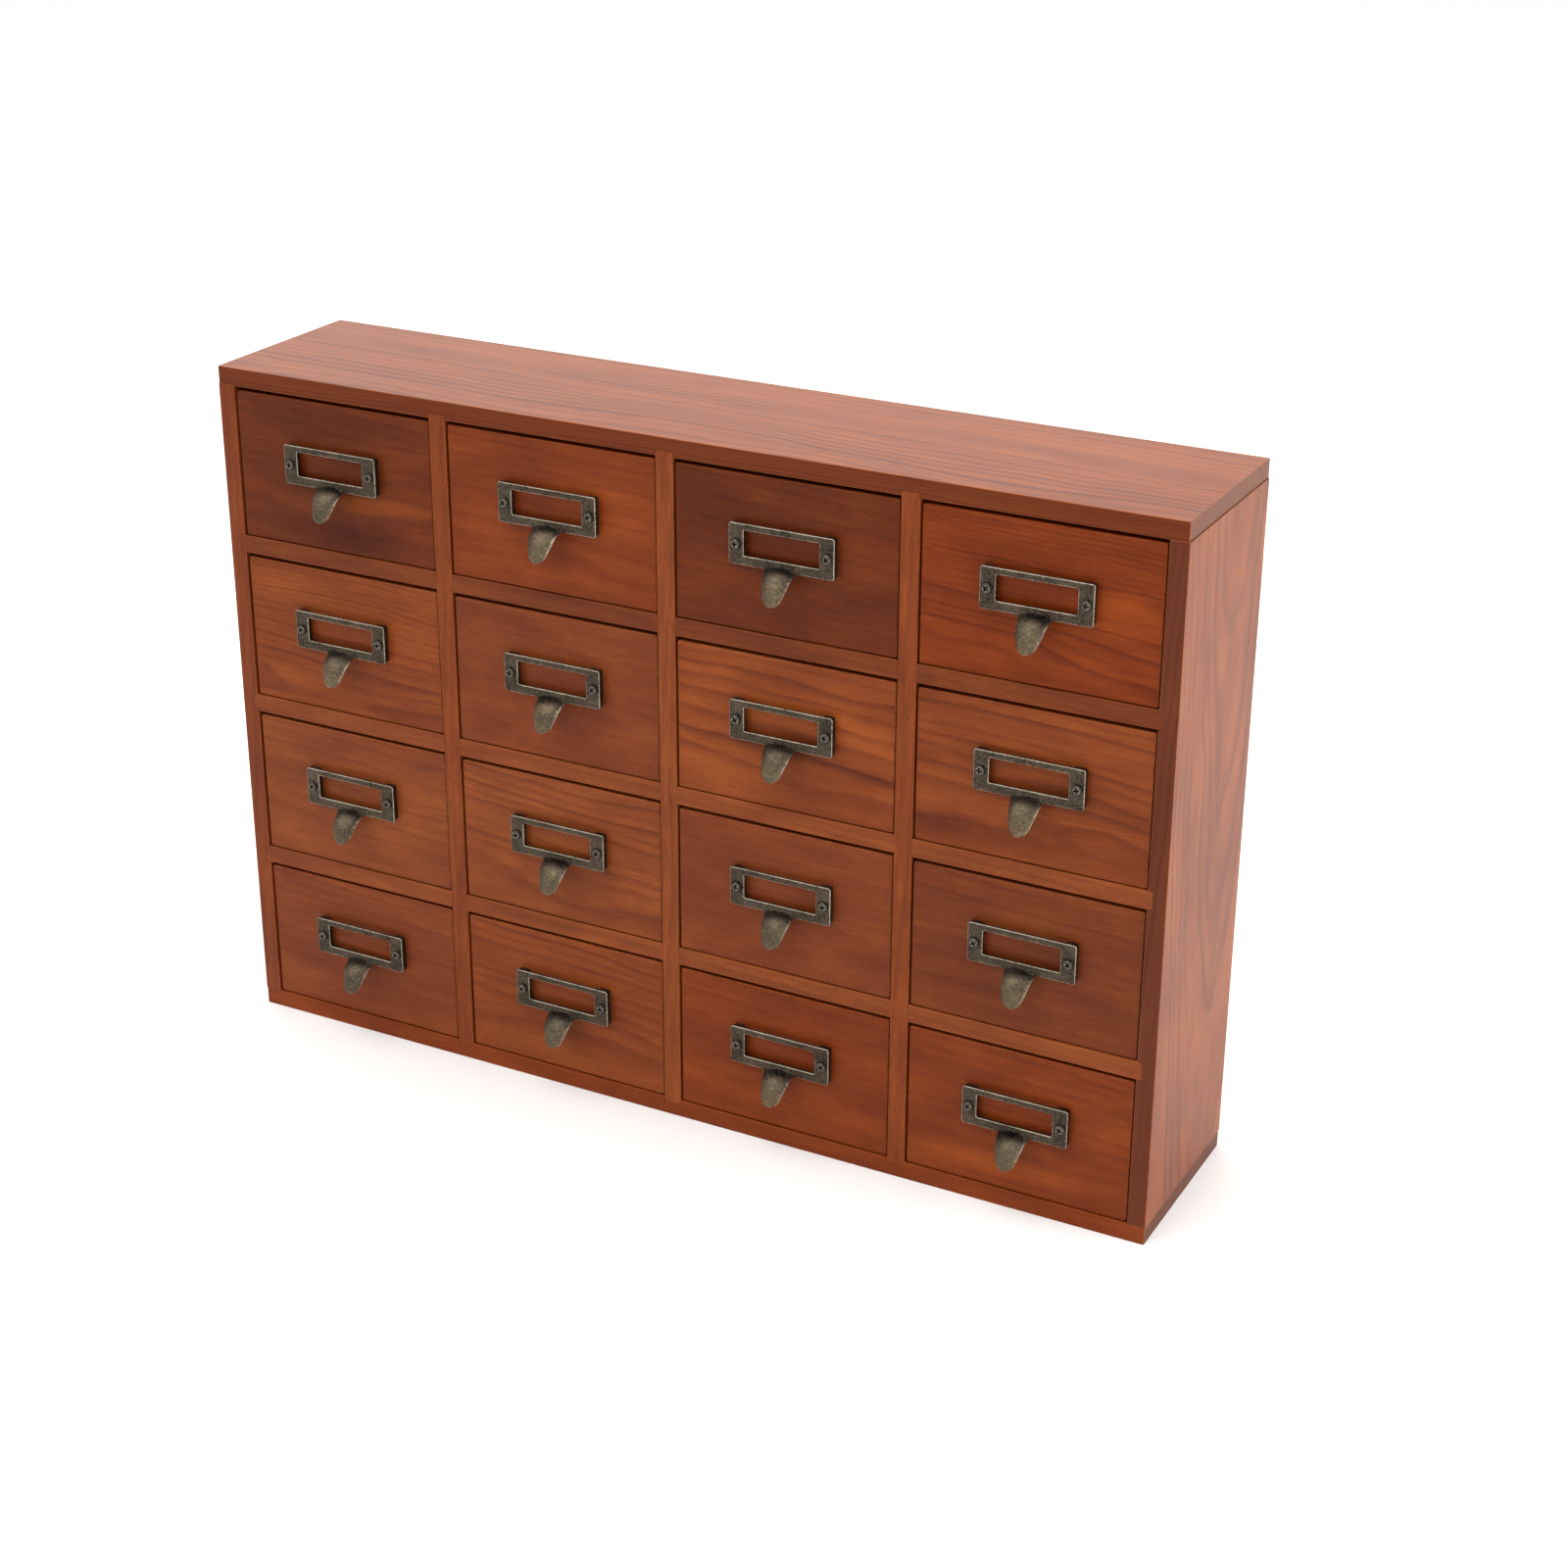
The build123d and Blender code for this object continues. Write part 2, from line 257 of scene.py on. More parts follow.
def stainedPine(name, centre, **changes):
    look = {**pine, **changes}
    material, tree, shader = newMaterial(name)

    # millimetres from the board's centre, turned so that X runs along the grain
    place = addNode(tree, "ShaderNodeTexCoord").outputs["Object"]
    local = addNode(tree, "ShaderNodeVectorMath", {
        0: place, 1: tuple(centre)}, operation="SUBTRACT").outputs[0]
    turn = (0, math.radians(90), 0) if look["along"] == "Z" else (0, 0, 0)
    board = addNode(tree, "ShaderNodeMapping", {
        "Vector": local, "Rotation": turn, "Scale": (1 / mm, 1 / mm, 1 / mm)}).outputs[0]
    if look["pitch"]:
        along = addNode(tree, "ShaderNodeSeparateXYZ", {0: board}).outputs[0]
        pieces = addNode(tree, "ShaderNodeMath", {
            0: along, 1: look["pitch"]}, operation="DIVIDE").outputs[0]
        pieceNumber = addNode(tree, "ShaderNodeMath", {0: pieces}, operation="FLOOR").outputs[0]
        shift = addNode(tree, "ShaderNodeVectorMath", {
            0: look["pieceShift"], "Scale": pieceNumber}, operation="SCALE").outputs[0]
        board = addNode(tree, "ShaderNodeVectorMath", {
            0: board, 1: shift}, operation="ADD").outputs[0]

    noises = {}
    for number, (layer, (length, width, detail, rough)) in enumerate(grain.items()):
        start = [look["seed"] * bySeed + number * byLayer
                 for bySeed, byLayer in zip(look["seedShift"], look["layerShift"])]
        stretched = addNode(tree, "ShaderNodeMapping", {
            "Vector": board, "Location": start,
            "Scale": (1 / length, 1 / width, 1 / width)}).outputs[0]
        noises[layer] = addNode(tree, "ShaderNodeTexNoise", {
            "Vector": stretched, "Scale": 1.0, "Detail": detail, "Roughness": rough}).outputs

    # growth rings round a heart line outside the board
    wander = addNode(tree, "ShaderNodeVectorMath", {
        0: noises["wander"]["Color"], 1: (0.5, 0.5, 0.5)}, operation="SUBTRACT").outputs[0]
    moved = addNode(tree, "ShaderNodeVectorMath", {
        0: wander, 1: [look["wander"] * share for share in look["wanderShares"]], 2: board},
        operation="MULTIPLY_ADD").outputs[0]
    parts = addNode(tree, "ShaderNodeSeparateXYZ", {0: moved}).outputs
    across = {2: 0.0}
    for axis, (lean, heart) in enumerate(zip(look["ringLean"], look["heart"])):
        leaned = addNode(tree, "ShaderNodeMath", {
            0: parts[0], 1: lean, 2: parts[axis + 1]}, operation="MULTIPLY_ADD").outputs[0]
        across[axis] = addNode(tree, "ShaderNodeMath", {
            0: leaned, 1: heart}, operation="SUBTRACT").outputs[0]
    section = addNode(tree, "ShaderNodeCombineXYZ", across).outputs[0]
    radius = addNode(tree, "ShaderNodeVectorMath", {
        0: section}, operation="LENGTH").outputs["Value"]
    rings = addNode(tree, "ShaderNodeMath", {
        0: radius, 1: look["ringSpacing"]}, operation="DIVIDE").outputs[0]
    phase = addNode(tree, "ShaderNodeMath", {0: rings}, operation="FRACT").outputs[0]
    lateWood = addNode(tree, "ShaderNodeValToRGB", {0: phase})
    fillRamp(lateWood, look["lateWood"])
    ringNumber = addNode(tree, "ShaderNodeMath", {0: rings}, operation="FLOOR").outputs[0]
    ringWeight = addNode(tree, "ShaderNodeTexWhiteNoise", {
        "W": ringNumber}, noise_dimensions="1D").outputs["Value"]
    late = addNode(tree, "ShaderNodeMath", {
        0: lateWood.outputs[0], 1: ringWeight}, operation="MULTIPLY").outputs[0]
    pore = addNode(tree, "ShaderNodeMapRange", {
        "Value": noises["pore"][0], "From Min": look["poreFrom"][0], "From Max": look["poreFrom"][1]},
        interpolation_type="SMOOTHSTEP").outputs[0]

    # one tone from soaked to thin stain: each layer has its weight and its usual level.
    # Noise seldom leaves the middle half of its range, so its depth counts double.
    layers = [
        (noises["blotch"][0], 2 * look["blotchDepth"], 0.5),
        (noises["streak"][0], 2 * look["streakDepth"], 0.5),
        (noises["fibre"][0], 2 * look["fibreDepth"], 0.5),
        (late, -1.5 * look["ringDepth"], 0.25),
        (pore, -look["poreDepth"], 0.1),
    ]
    for right, up, halfLength, halfHeight, strength in look["stains"]:
        offset = addNode(tree, "ShaderNodeVectorMath", {
            0: moved, 1: (right, 0, up)}, operation="SUBTRACT").outputs[0]
        share = addNode(tree, "ShaderNodeVectorMath", {
            0: offset, 1: (1 / halfLength, 0, 1 / halfHeight)}, operation="MULTIPLY").outputs[0]
        distance = addNode(tree, "ShaderNodeVectorMath", {
            0: share}, operation="LENGTH").outputs["Value"]
        stain = addNode(tree, "ShaderNodeMapRange", {
            "Value": distance, "From Min": look["stainFrom"][0], "From Max": look["stainFrom"][1]},
            interpolation_type="SMOOTHSTEP").outputs[0]
        layers.append((stain, strength, 0.0))
    tone = 0.5 - sum(weight * usual for value, weight, usual in layers)
    for value, weight, usual in layers:
        tone = addNode(tree, "ShaderNodeMath", {
            0: value, 1: weight, 2: tone}, operation="MULTIPLY_ADD").outputs[0]
    ramp = addNode(tree, "ShaderNodeValToRGB", {0: tone})
    fillRamp(ramp, [(0.0, shade(look["mid"], look["soaked"])), (0.5, toLinear(look["mid"])),
                    (1.0, shade(look["mid"], look["thin"]))])

    # sawn ends face along the grain; rubbed edges, with their painted highlight, face between the
    # board's own directions
    normal = addNode(tree, "ShaderNodeNewGeometry").outputs["Normal"]
    sizes = addNode(tree, "ShaderNodeVectorMath", {0: normal}, operation="ABSOLUTE").outputs[0]
    sides = addNode(tree, "ShaderNodeSeparateXYZ", {0: sizes}).outputs
    largest = addNode(tree, "ShaderNodeMath", {
        0: sides[0], 1: sides[1]}, operation="MAXIMUM").outputs[0]
    largest = addNode(tree, "ShaderNodeMath", {
        0: largest, 1: sides[2]}, operation="MAXIMUM").outputs[0]
    edge = addNode(tree, "ShaderNodeMapRange", {
        "Value": largest, "From Min": look["rubbedAndHighlitFrom"][0], "From Max": look["rubbedAndHighlitFrom"][1],
        "To Max": look["rubbedAndHighlitDepth"]}, interpolation_type="SMOOTHSTEP").outputs[0]
    patch = addNode(tree, "ShaderNodeMapRange", {
        "Value": noises["patch"][0], "From Min": look["rubbedAndHighlitPatch"][0],
        "From Max": look["rubbedAndHighlitPatch"][1]}).outputs[0]
    # the edge mask paints rubbed wear and a highlight together
    rubbedAndHighlit = addNode(tree, "ShaderNodeMath", {0: edge, 1: patch}, operation="MULTIPLY").outputs[0]
    # faces towards the front and back are darkened as painted shade
    sawn, front = [addNode(tree, "ShaderNodeMapRange", {
        "Value": side, "From Min": look["facing"][0], "From Max": look["facing"][1],
        "To Max": depth}).outputs[0] for side, depth in (
            (sides["XYZ".index(look["along"])], look["endGrainDepth"]),
            (sides[1], look["frontEdgeDepth"]))]
    colour = ramp.outputs[0]
    for factor, shares in ((front, "frontEdge"), (sawn, "endGrain"), (rubbedAndHighlit, "rubbedAndHighlit")):
        mixed = addNode(tree, "ShaderNodeMix", {
            "Factor": factor, "A": colour, "B": shade(look["mid"], look[shares])}, data_type="RGBA")
        colour = [socket for socket in mixed.outputs if socket.type == "RGBA"][0]
    tree.links.new(colour, shader.inputs["Base Color"])

    rough = addNode(tree, "ShaderNodeMath", {
        0: noises["fibre"][0], 1: look["fibreRoughness"],
        2: look["roughness"] - look["fibreRoughness"] / 2}, operation="MULTIPLY_ADD").outputs[0]
    tree.links.new(rough, shader.inputs["Roughness"])
    height = 0.0
    for value, share in zip((noises["fibre"][0], pore, late), look["reliefShares"]):
        height = addNode(tree, "ShaderNodeMath", {
            0: value, 1: share, 2: height}, operation="MULTIPLY_ADD").outputs[0]
    bump = addNode(tree, "ShaderNodeBump", {
        "Height": height, "Strength": look["relief"], "Distance": look["reliefHeight"] * mm})
    tree.links.new(bump.outputs[0], shader.inputs["Normal"])
    shader.inputs["IOR"].default_value = look["lacquerIOR"]
    return material


def boxCentre(name):
    low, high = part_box(name)
    return (low + high) / 2


bayPitch = 122.75    # mm from one column of drawers to the next

# what differs from board to board, and the seed that gives each its own figure
boards = {
    # the top board and right side get painted shade on their front and back edges
    "top_board": dict(
        mid="#7c3c1a", seed=3.1, heart=(-75.0, -150.0), ringLean=(0.03, 0.0), wander=3.5,
        ringSpacing=1.9, ringDepth=0.45, blotchDepth=0.25, frontEdgeDepth=0.7),
    "bottom_board": dict(
        mid=stainTones["amberBrown"], seed=4.7, heart=(30.0, -45.0), ringSpacing=5.0),
    "left_side_panel": dict(mid=stainTones["softBrown"], seed=6.2, along="Z"),
    "right_side_panel": dict(
        mid="#733b22", seed=7.9, along="Z", heart=(20.0, 90.0), wander=4.0, ringSpacing=3.0,
        ringDepth=0.3, frontEdgeDepth=0.7),
    "divider_left": dict(
        mid=stainTones["chestnut"], seed=9.3, along="Z", fibreDepth=0.34, poreDepth=0.3),
    "divider_centre": dict(
        mid=stainTones["paleChestnut"], seed=10.8, along="Z", fibreDepth=0.34, poreDepth=0.3),
    "divider_right": dict(
        mid=stainTones["chestnut"], seed=12.4, along="Z", fibreDepth=0.34, poreDepth=0.3),
    "shelves_upper_row": dict(mid=stainTones["umber"], seed=14.9, pitch=bayPitch),
    "shelves_middle_row": dict(mid=stainTones["paleChestnut"], seed=16.5, pitch=bayPitch),
    "shelves_lower_row": dict(mid=stainTones["paleChestnut"], seed=18.1, pitch=bayPitch),
}

easing = {
    "seam": 0.5,     # mm taken off a board's edges, so that flush boards show a fine line
    "weld": 0.01,    # mm within which a board's points are joined, so that its edges are whole
    "steps": 2,
    "leastAngle": 50,    # degrees between two faces; a flatter edge is left alone
}

for name, changes in boards.items():
    label = name.replace("_", " ")
    dress(nodes[name], stainedPine(f"lacquered stained pine, {label}", boxCentre(name), **changes))
    weld = nodes[name].modifiers.new("weld", "WELD")
    weld.merge_threshold = easing["weld"] * mm
    bevel = nodes[name].modifiers.new("easedEdges", "BEVEL")
    bevel.width = easing["seam"] * mm
    bevel.segments = easing["steps"]
    bevel.limit_method = "ANGLE"
    bevel.angle_limit = math.radians(easing["leastAngle"])
print("carcass boards stained")

# the drawer fronts, by row and column
fronts = {
    "r1c1": dict(
        mid=stainTones["deepBrown"],
        stains=[(26, -11, 36, 6, 0.42), (6, -27, 44, 9, -0.3), (-20, 26, 50, 10, -0.12)]),
    "r1c2": dict(
        mid=stainTones["amberBrown"], stains=[(30, 9, 34, 13, 0.16), (-36, -4, 16, 12, 0.14)]),
    "r1c3": dict(
        mid=stainTones["deepBrown"], poreDepth=0.3, stains=[(-40, 22, 26, 14, -0.15)]),
    "r1c4": dict(
        mid=stainTones["redBrown"], ringSpacing=2.2, ringDepth=0.26,
        stains=[(34, 2, 24, 12, 0.25)]),
    "r2c1": dict(mid=stainTones["chestnut"], ringSpacing=2.4, ringDepth=0.24),
    "r2c2": dict(mid=stainTones["softBrown"], ringDepth=0.06, streakDepth=0.1, fibreDepth=0.25),
    "r2c3": dict(
        mid=stainTones["chestnut"], ringSpacing=6.0, ringDepth=0.34, wander=9.0,
        stains=[(20, 10, 40, 12, 0.15)]),
    "r2c4": dict(mid=stainTones["chestnut"], ringSpacing=5.0, ringDepth=0.3, wander=8.0),
    "r3c1": dict(mid=stainTones["paleChestnut"]),
    "r3c2": dict(mid=stainTones["paleChestnut"], ringSpacing=4.0, ringDepth=0.26),
    "r3c3": dict(mid=stainTones["softBrown"], ringDepth=0.06),
    "r3c4": dict(mid=stainTones["umber"]),
    "r4c1": dict(mid=stainTones["softBrown"]),
    "r4c2": dict(mid=stainTones["chestnut"], ringDepth=0.24),
    "r4c3": dict(mid=stainTones["amberBrown"], ringDepth=0.08),
    "r4c4": dict(mid=stainTones["amberBrown"], stains=[(0, -24, 60, 6, 0.25)]),
}
frontSeeds = (20.3, 1.7)    # the first front's seed, and what each next one adds

for number, (place, changes) in enumerate(fronts.items()):
    name = f"drawer_{place}_front"
    material = stainedPine(f"lacquered stained pine, drawer {place}", boxCentre(name),
                           seed=frontSeeds[0] + frontSeeds[1] * number, **changes)
    dress(nodes[name], material)
print("drawer fronts stained")


# planed bare pine inside the drawers: the same wood without stain, pale and dull

barePine = dict(
    mid="#bd8f5c", soaked=(0.6, 0.5, 0.4), thin=(1.2, 1.25, 1.35), rubbedAndHighlit=(1.05, 1.05, 1.05),
    endGrain=(0.8, 0.75, 0.65), ringDepth=0.3, blotchDepth=0.12, roughness=0.62, seed=51.0)
bareMaterial = stainedPine("planed bare pine", (0, 0, 0), **barePine)
for place in fronts:
    dress(nodes[f"drawer_{place}_box"], bareMaterial)

# sanded plywood for the back: a pale face veneer with a wide, flat figure

plywood = dict(
    mid="#aa7b4b", soaked=(0.6, 0.52, 0.45), thin=(1.25, 1.3, 1.35), rubbedAndHighlit=(1.1, 1.1, 1.1),
    endGrain=(0.8, 0.75, 0.65), ringSpacing=16.0, heart=(-60.0, -160.0), wander=14.0,
    ringDepth=0.22, blotchDepth=0.2, poreDepth=0.15, roughness=0.7, seed=63.0)
dress(nodes["back_panel"], stainedPine("sanded plywood", boxCentre("back_panel"), **plywood))


# bright steel brads: drawn wire with a flat, slightly dulled head

brads = {
    "dull": "#76726c",
    "bright": "#b4b1ab",
    "levels": (0.3, 0.7),       # where the grit noise is dull and where bright
    "gritPerMm": 2.5,
    "detail": 3.0,
    "roughness": (0.3, 0.5),
}


def steelWire(look):
    material, tree, shader = newMaterial("drawn steel wire")
    place = addNode(tree, "ShaderNodeTexCoord").outputs["Object"]
    grit = addNode(tree, "ShaderNodeTexNoise", {
        "Vector": place, "Scale": look["gritPerMm"] / mm, "Detail": look["detail"]}).outputs[0]
    ramp = addNode(tree, "ShaderNodeValToRGB", {0: grit})
    tones = zip(look["levels"], ("dull", "bright"))
    fillRamp(ramp, [(level, toLinear(look[tone])) for level, tone in tones])
    tree.links.new(ramp.outputs[0], shader.inputs["Base Color"])
    smooth, coarse = look["roughness"]
    rough = addNode(tree, "ShaderNodeMapRange", {
        "Value": grit, "To Min": smooth, "To Max": coarse}).outputs[0]
    tree.links.new(rough, shader.inputs["Roughness"])
    shader.inputs["Metallic"].default_value = 1.0
    return material


dress(nodes["back_panel_nails"], steelWire(brads))
print("insides and back finished")


# the pull: one casting of plate and finger tongue

pull = {
    # all lengths in mm; wear goes from 0, untouched, to 1, rubbed bright
    "plate": (53.0, 19.5),
    "plateCorner": 1.2,
    "leastCorner": 0.3,       # the face's corners never get tighter than this
    "window": (38.0, 12.0),
    "windowCorner": 0.6,
    "windowRaise": 0.7,       # the window's middle above the plate's
    "lift": 4.0,              # plate's face in front of the drawer front
    "thickness": 1.3,
    "edgeRound": 0.42,
    "edgeWear": [0.35, 0.65, 0.8, 0.7, 0.4],    # from the side to the face, one for each step
    "sideWear": (0.15, 0.2),  # behind the rounding, and the wear there
    "faceWear": (0.25, 0.12),    # inside the rounding, and the wear there
    "loopSteps": (6, 16),     # points on each corner and between two corners
    "rib": 6.2,
    "lowerRib": 2.4,
    "lowerRibShorter": 3,     # at each end
    "ribInset": 0.5,          # ribs stand back from the plate's outline
    "ribCorner": 0.6,
    "ribSteps": (4, 2),
    "ribSink": 0.3,           # ribs run this far into the plate
    "ribGap": 0.02,           # and stop this far short of the wood
    # tongue: out from the wood, below the plate, half width, crown
    "tongue": [(2.9, -2.2, 8.6, 1.0), (5.2, -1.5, 7.6, 2.0), (8.0, -0.7, 7.1, 2.8),
               (10.8, 0.9, 6.8, 3.3), (13.0, 3.6, 6.4, 3.4), (14.4, 7.0, 5.6, 3.0),
               (15.1, 10.2, 4.6, 2.1), (15.3, 12.2, 3.2, 1.2), (15.35, 13.1, 1.5, 0.5)],
    "tongueThickness": (1.8, 1.1),
    "tongueSteps": 5,         # sections from one station to the next
    "sectionSteps": 14,
    "sectionArcs": (84, 80),  # degrees to each side, in front and behind
    "rim": (0.8, 0.45),       # width of the rim behind, and its most as a share of the half width
    "hollow": 0.92,           # share of the crown that the back follows
    "rimThickness": 0.35,     # share of the thickness left at the rim
    "rimWear": (0.8, 9, 3),   # strength, how tight to the rim, how soon it starts from the root
    "tipWear": (0.7, 0.93),   # strength, and the share of the length where it starts
    "screwSpacing": 46.0,
}


def roundedLoop(width, height, corner, perCorner, perSide):
    # points round a rounded rectangle, the same number for every size
    points = []
    for quarter in range(4):
        signX = (1, -1, -1, 1)[quarter]
        signZ = (1, 1, -1, -1)[quarter]
        middle = Vector((signX * (width / 2 - corner), signZ * (height / 2 - corner)))
        for step in range(perCorner + 1):
            angle = math.radians(90 * (quarter + step / perCorner))
            points.append(middle + Vector((math.cos(angle), math.sin(angle))) * corner)
    filled = []
    for i, point in enumerate(points):
        filled.append(point)
        if i % (perCorner + 1) == perCorner:
            after = points[(i + 1) % len(points)]
            filled += [point.lerp(after, (k + 1) / (perSide + 1)) for k in range(perSide)]
    return filled


def bridge(bm, loops, wear=None, wrap=False, ends=False):
    # quads between neighbouring loops of points; wear is one value for each loop or for each point
    layer = bm.verts.layers.float.get("wear") or bm.verts.layers.float.new("wear")
    rings = []
    for i, loop in enumerate(loops):
        values = wear[i] if wear else 0.0
        ring = []
        for k, point in enumerate(loop):
            vert = bm.verts.new(point)
            vert[layer] = values[k] if isinstance(values, list) else values
            ring.append(vert)
        rings.append(ring)
    pairs = list(zip(rings, rings[1:])) + ([(rings[-1], rings[0])] if wrap else [])
    for a, b in pairs:
        for i in range(len(a)):
            j = (i + 1) % len(a)
            bm.faces.new((a[i], a[j], b[j], b[i]))
    if ends:
        bm.faces.new(rings[0])
        bm.faces.new(rings[-1])
    return rings


smoothBelow = 38    # degrees between a casting's or screw's faces that still look smooth


def meshOf(bm, name):
    # closes a bmesh into a smooth-shaded mesh with sharp creases
    bmesh.ops.recalc_face_normals(bm, faces=bm.faces)
    mesh = bpy.data.meshes.new(name)
    bm.to_mesh(mesh)
    bm.free()
    mesh.shade_smooth()
    mesh.set_sharp_from_angle(angle=math.radians(smoothBelow))
    return mesh


def plateMesh(look):
    # the plate's ring: round the outside, over the face and back through the window
    width, height = look["plate"]
    windowWidth, windowHeight = look["window"]
    bend = look["edgeRound"]
    faceY = -look["lift"]
    backY = faceY + look["thickness"]
    behind, sideWear = look["sideWear"]
    inside, faceWear = look["faceWear"]
    rows = [(0, backY, 0.0), (0, faceY + bend + behind, sideWear)]
    for step, worn in enumerate(look["edgeWear"]):
        angle = math.radians(90 * step / (len(look["edgeWear"]) - 1))
        rows.append((bend * (1 - math.cos(angle)), faceY + bend * (1 - math.sin(angle)), worn))
    rows.append((bend + inside, faceY, faceWear))
    loops = []
    for inset, y, worn in rows:
        corner = max(look["plateCorner"] - inset, look["leastCorner"])
        loops.append((width - 2 * inset, height - 2 * inset, corner, y, 0.0))
    for inset, y, worn in reversed(rows):
        loops.append((windowWidth + 2 * inset, windowHeight + 2 * inset,
                      look["windowCorner"] + inset, y, look["windowRaise"]))
    wear = [worn for inset, y, worn in rows + rows[::-1]]
    points = [[Vector((p.x, y, p.y + up)) * mm for p in roundedLoop(w, h, corner, *look["loopSteps"])]
              for w, h, corner, y, up in loops]
    bm = bmesh.new()
    bridge(bm, points, wear, wrap=True)
    return meshOf(bm, "plate")


def ribMesh(look, x0, x1, z0, z1):
    # a rib between the plate and the wood, with rounded corners
    centre = Vector(((x0 + x1) / 2, 0, (z0 + z1) / 2))
    outline = roundedLoop(x1 - x0, z1 - z0, look["ribCorner"], *look["ribSteps"])
    inPlate = -look["lift"] + look["thickness"] - look["ribSink"]
    loops = [[(centre + Vector((p.x, y, p.y))) * mm for p in outline]
             for y in (inPlate, -look["ribGap"])]
    bm = bmesh.new()
    bridge(bm, loops, ends=True)
    return meshOf(bm, "rib")


def smoothPath(stations, perSpan):
    # a Catmull-Rom curve through the stations
    padded = [stations[0]] + stations + [stations[-1]]
    path = []
    for i in range(1, len(padded) - 2):
        a, b, c, d = [Vector(padded[i + k]) for k in (-1, 0, 1, 2)]
        for step in range(perSpan):
            t = step / perSpan
            path.append(0.5 * (2 * b + (c - a) * t + (2 * a - 5 * b + 4 * c - d) * t * t
                               + (3 * b - a - 3 * c + d) * t ** 3))
    path.append(Vector(stations[-1]))
    return path


def tongueMesh(look):
    # half-round sections along the tongue's curve, crowned outside and hollow behind
    path = smoothPath(look["tongue"], look["tongueSteps"])
    thick, thin = look["tongueThickness"]
    lower = -look["plate"][1] / 2
    count = look["sectionSteps"]
    front, back = look["sectionArcs"]
    rimWidth, rimShare = look["rim"]
    rimWear, tightness, onset = look["rimWear"]
    tipWear, tipStart = look["tipWear"]
    loops = []
    wear = []
    for i, (out, drop, half, crown) in enumerate(path):
        share = i / (len(path) - 1)
        ahead = path[min(i + 1, len(path) - 1)]
        behind = path[max(i - 1, 0)]
        run = Vector((ahead[0] - behind[0], ahead[1] - behind[1])).normalized()
        outward = Vector((0, -run.y, run.x))
        centre = Vector((0, -out, lower - drop))
        thickness = thick + (thin - thick) * share
        rim = min(rimWidth, half * rimShare)
        tip = max(0.0, (share - tipStart) / (1 - tipStart)) * tipWear
        loop = []
        values = []
        for k in range(count + 1):
            angle = math.radians(-front + 2 * front * k / count)
            sideways = Vector((half * math.sin(angle), 0, 0))
            loop.append(centre + sideways - outward * crown * (1 - math.cos(angle)))
            side = abs(math.sin(angle)) ** tightness * rimWear
            values.append(min(1.0, max(side * min(1.0, share * onset), tip)))
        for k in range(count + 1):
            angle = math.radians(back - 2 * back * k / count)
            sideways = Vector(((half - rim) * math.sin(angle), 0, 0))
            left = look["rimThickness"] + (1 - look["rimThickness"]) * math.cos(angle)
            depth = crown * (1 - math.cos(angle)) * look["hollow"] + thickness * left
            loop.append(centre + sideways - outward * depth)
            values.append(0.0)
        loops.append([p * mm for p in loop])
        wear.append(values)
    bm = bmesh.new()
    bridge(bm, loops, wear, ends=True)
    return meshOf(bm, "tongue")


def castPull(look):
    # the plate, ribs and tongue, united into one casting
    width, height = look["plate"]
    low = -height / 2 + look["ribInset"]
    high = height / 2 - look["ribInset"]
    right = width / 2 - look["ribInset"]
    inner = width / 2 - look["rib"]
    lowerRight = right - look["lowerRibShorter"]
    bodies = [
        plateMesh(look),
        ribMesh(look, -right, -inner, low, high),
        ribMesh(look, inner, right, low, high),
        ribMesh(look, -lowerRight, lowerRight, low, low + look["lowerRib"]),
        tongueMesh(look),
    ]
    objects = []
    for mesh in bodies:
        piece = bpy.data.objects.new(mesh.name, mesh)
        bpy.context.scene.collection.objects.link(piece)
        objects.append(piece)
    casting = objects[0]
    for other in objects[1:]:
        union = casting.modifiers.new("union", "BOOLEAN")
        union.operation = "UNION"
        union.solver = "EXACT"
        union.object = other
    depsgraph = bpy.context.evaluated_depsgraph_get()
    cast = bpy.data.meshes.new_from_object(casting.evaluated_get(depsgraph))
    cast.name = "pullCasting"

    # the union mixes up which point is how worn, so each takes the wear of the nearest
    # point of the separate bodies
    worn = [(vertex.co.copy(), mark.value) for mesh in bodies
            for vertex, mark in zip(mesh.vertices, mesh.attributes["wear"].data)]
    nearest = KDTree(len(worn))
    for number, (point, value) in enumerate(worn):
        nearest.insert(point, number)
    nearest.balance()
    for vertex, mark in zip(cast.vertices, cast.attributes["wear"].data):
        mark.value = worn[nearest.find(vertex.co)[1]][1]
    for piece in objects:
        bpy.data.objects.remove(piece)
    for mesh in bodies:
        bpy.data.meshes.remove(mesh)
    print("pull cast:", len(cast.polygons), "faces")
    return cast


# antiqued zinc alloy: a die casting blackened, then rubbed back. Grey-brown in the
# hollows, mottled like old bronze on the flats, and bright on the edges fingers touch.

